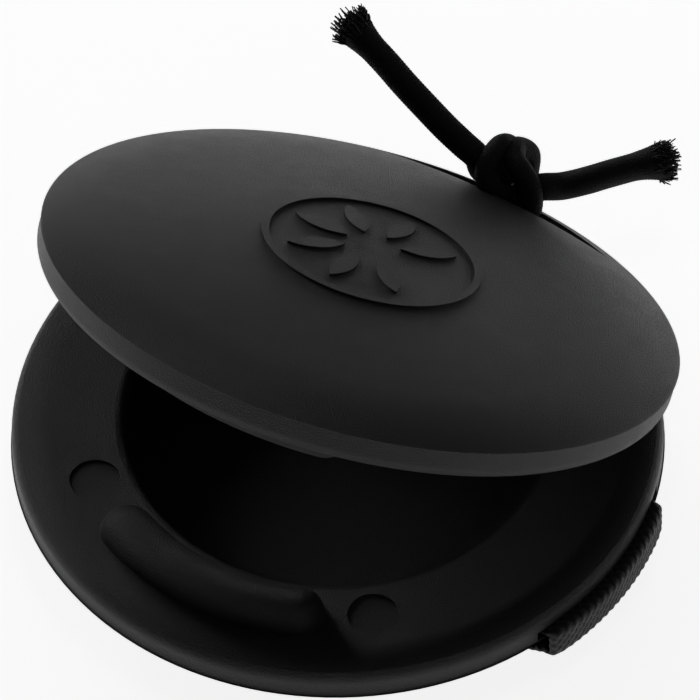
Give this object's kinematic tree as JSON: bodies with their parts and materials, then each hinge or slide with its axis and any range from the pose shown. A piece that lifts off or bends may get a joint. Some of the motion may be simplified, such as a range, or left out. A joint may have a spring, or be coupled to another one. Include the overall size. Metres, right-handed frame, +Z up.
{
  "type": "finger castanets",
  "caption": "Round moulded finger castanets: two bowl-shaped shells hinged by a knotted elastic cord, with an elastic strap for the finger.",
  "frame": {"origin": "middle of the flat on which the pair rests, under the strap of the lower shell", "axes": "+Z up, +Y towards the hinge, X along the hinge axis"},
  "size_m": [0.0581, 0.0682, 0.0348],
  "materials": {
    "shell_plastic": "satin",
    "strap_elastic": "matte",
    "strap_thread": "matte",
    "cord_elastic": "matte",
    "cord_fray": "matte"
  },
  "bodies": {
    "lower": {"lower_shell": "shell_plastic", "finger_strap": "strap_elastic", "strap_stitching": "strap_thread", "hinge_cord_under": "cord_elastic", "hinge_cord_inner_limb": "cord_elastic", "hinge_cord_outer_limb": "cord_elastic"},
    "upper": {"upper_shell": "shell_plastic", "hinge_cord_over": "cord_elastic", "cord_knot": "cord_elastic", "cord_tail_long": "cord_elastic", "cord_tail_short": "cord_elastic", "cord_end_long": "cord_fray", "cord_end_short": "cord_fray"}
  },
  "joints": [
    {"name": "shell_hinge", "type": "hinge", "parent": "lower", "child": "upper", "pos_m": [0, 0.0221, 0.00818], "axis": [-1, 0, 0], "range_deg": [-21.5, 10], "stiffness_Nm_per_rad": 0.05, "springref_deg": 1.72, "deforming": ["hinge_cord_inner_limb", "hinge_cord_outer_limb"]}
  ]
}
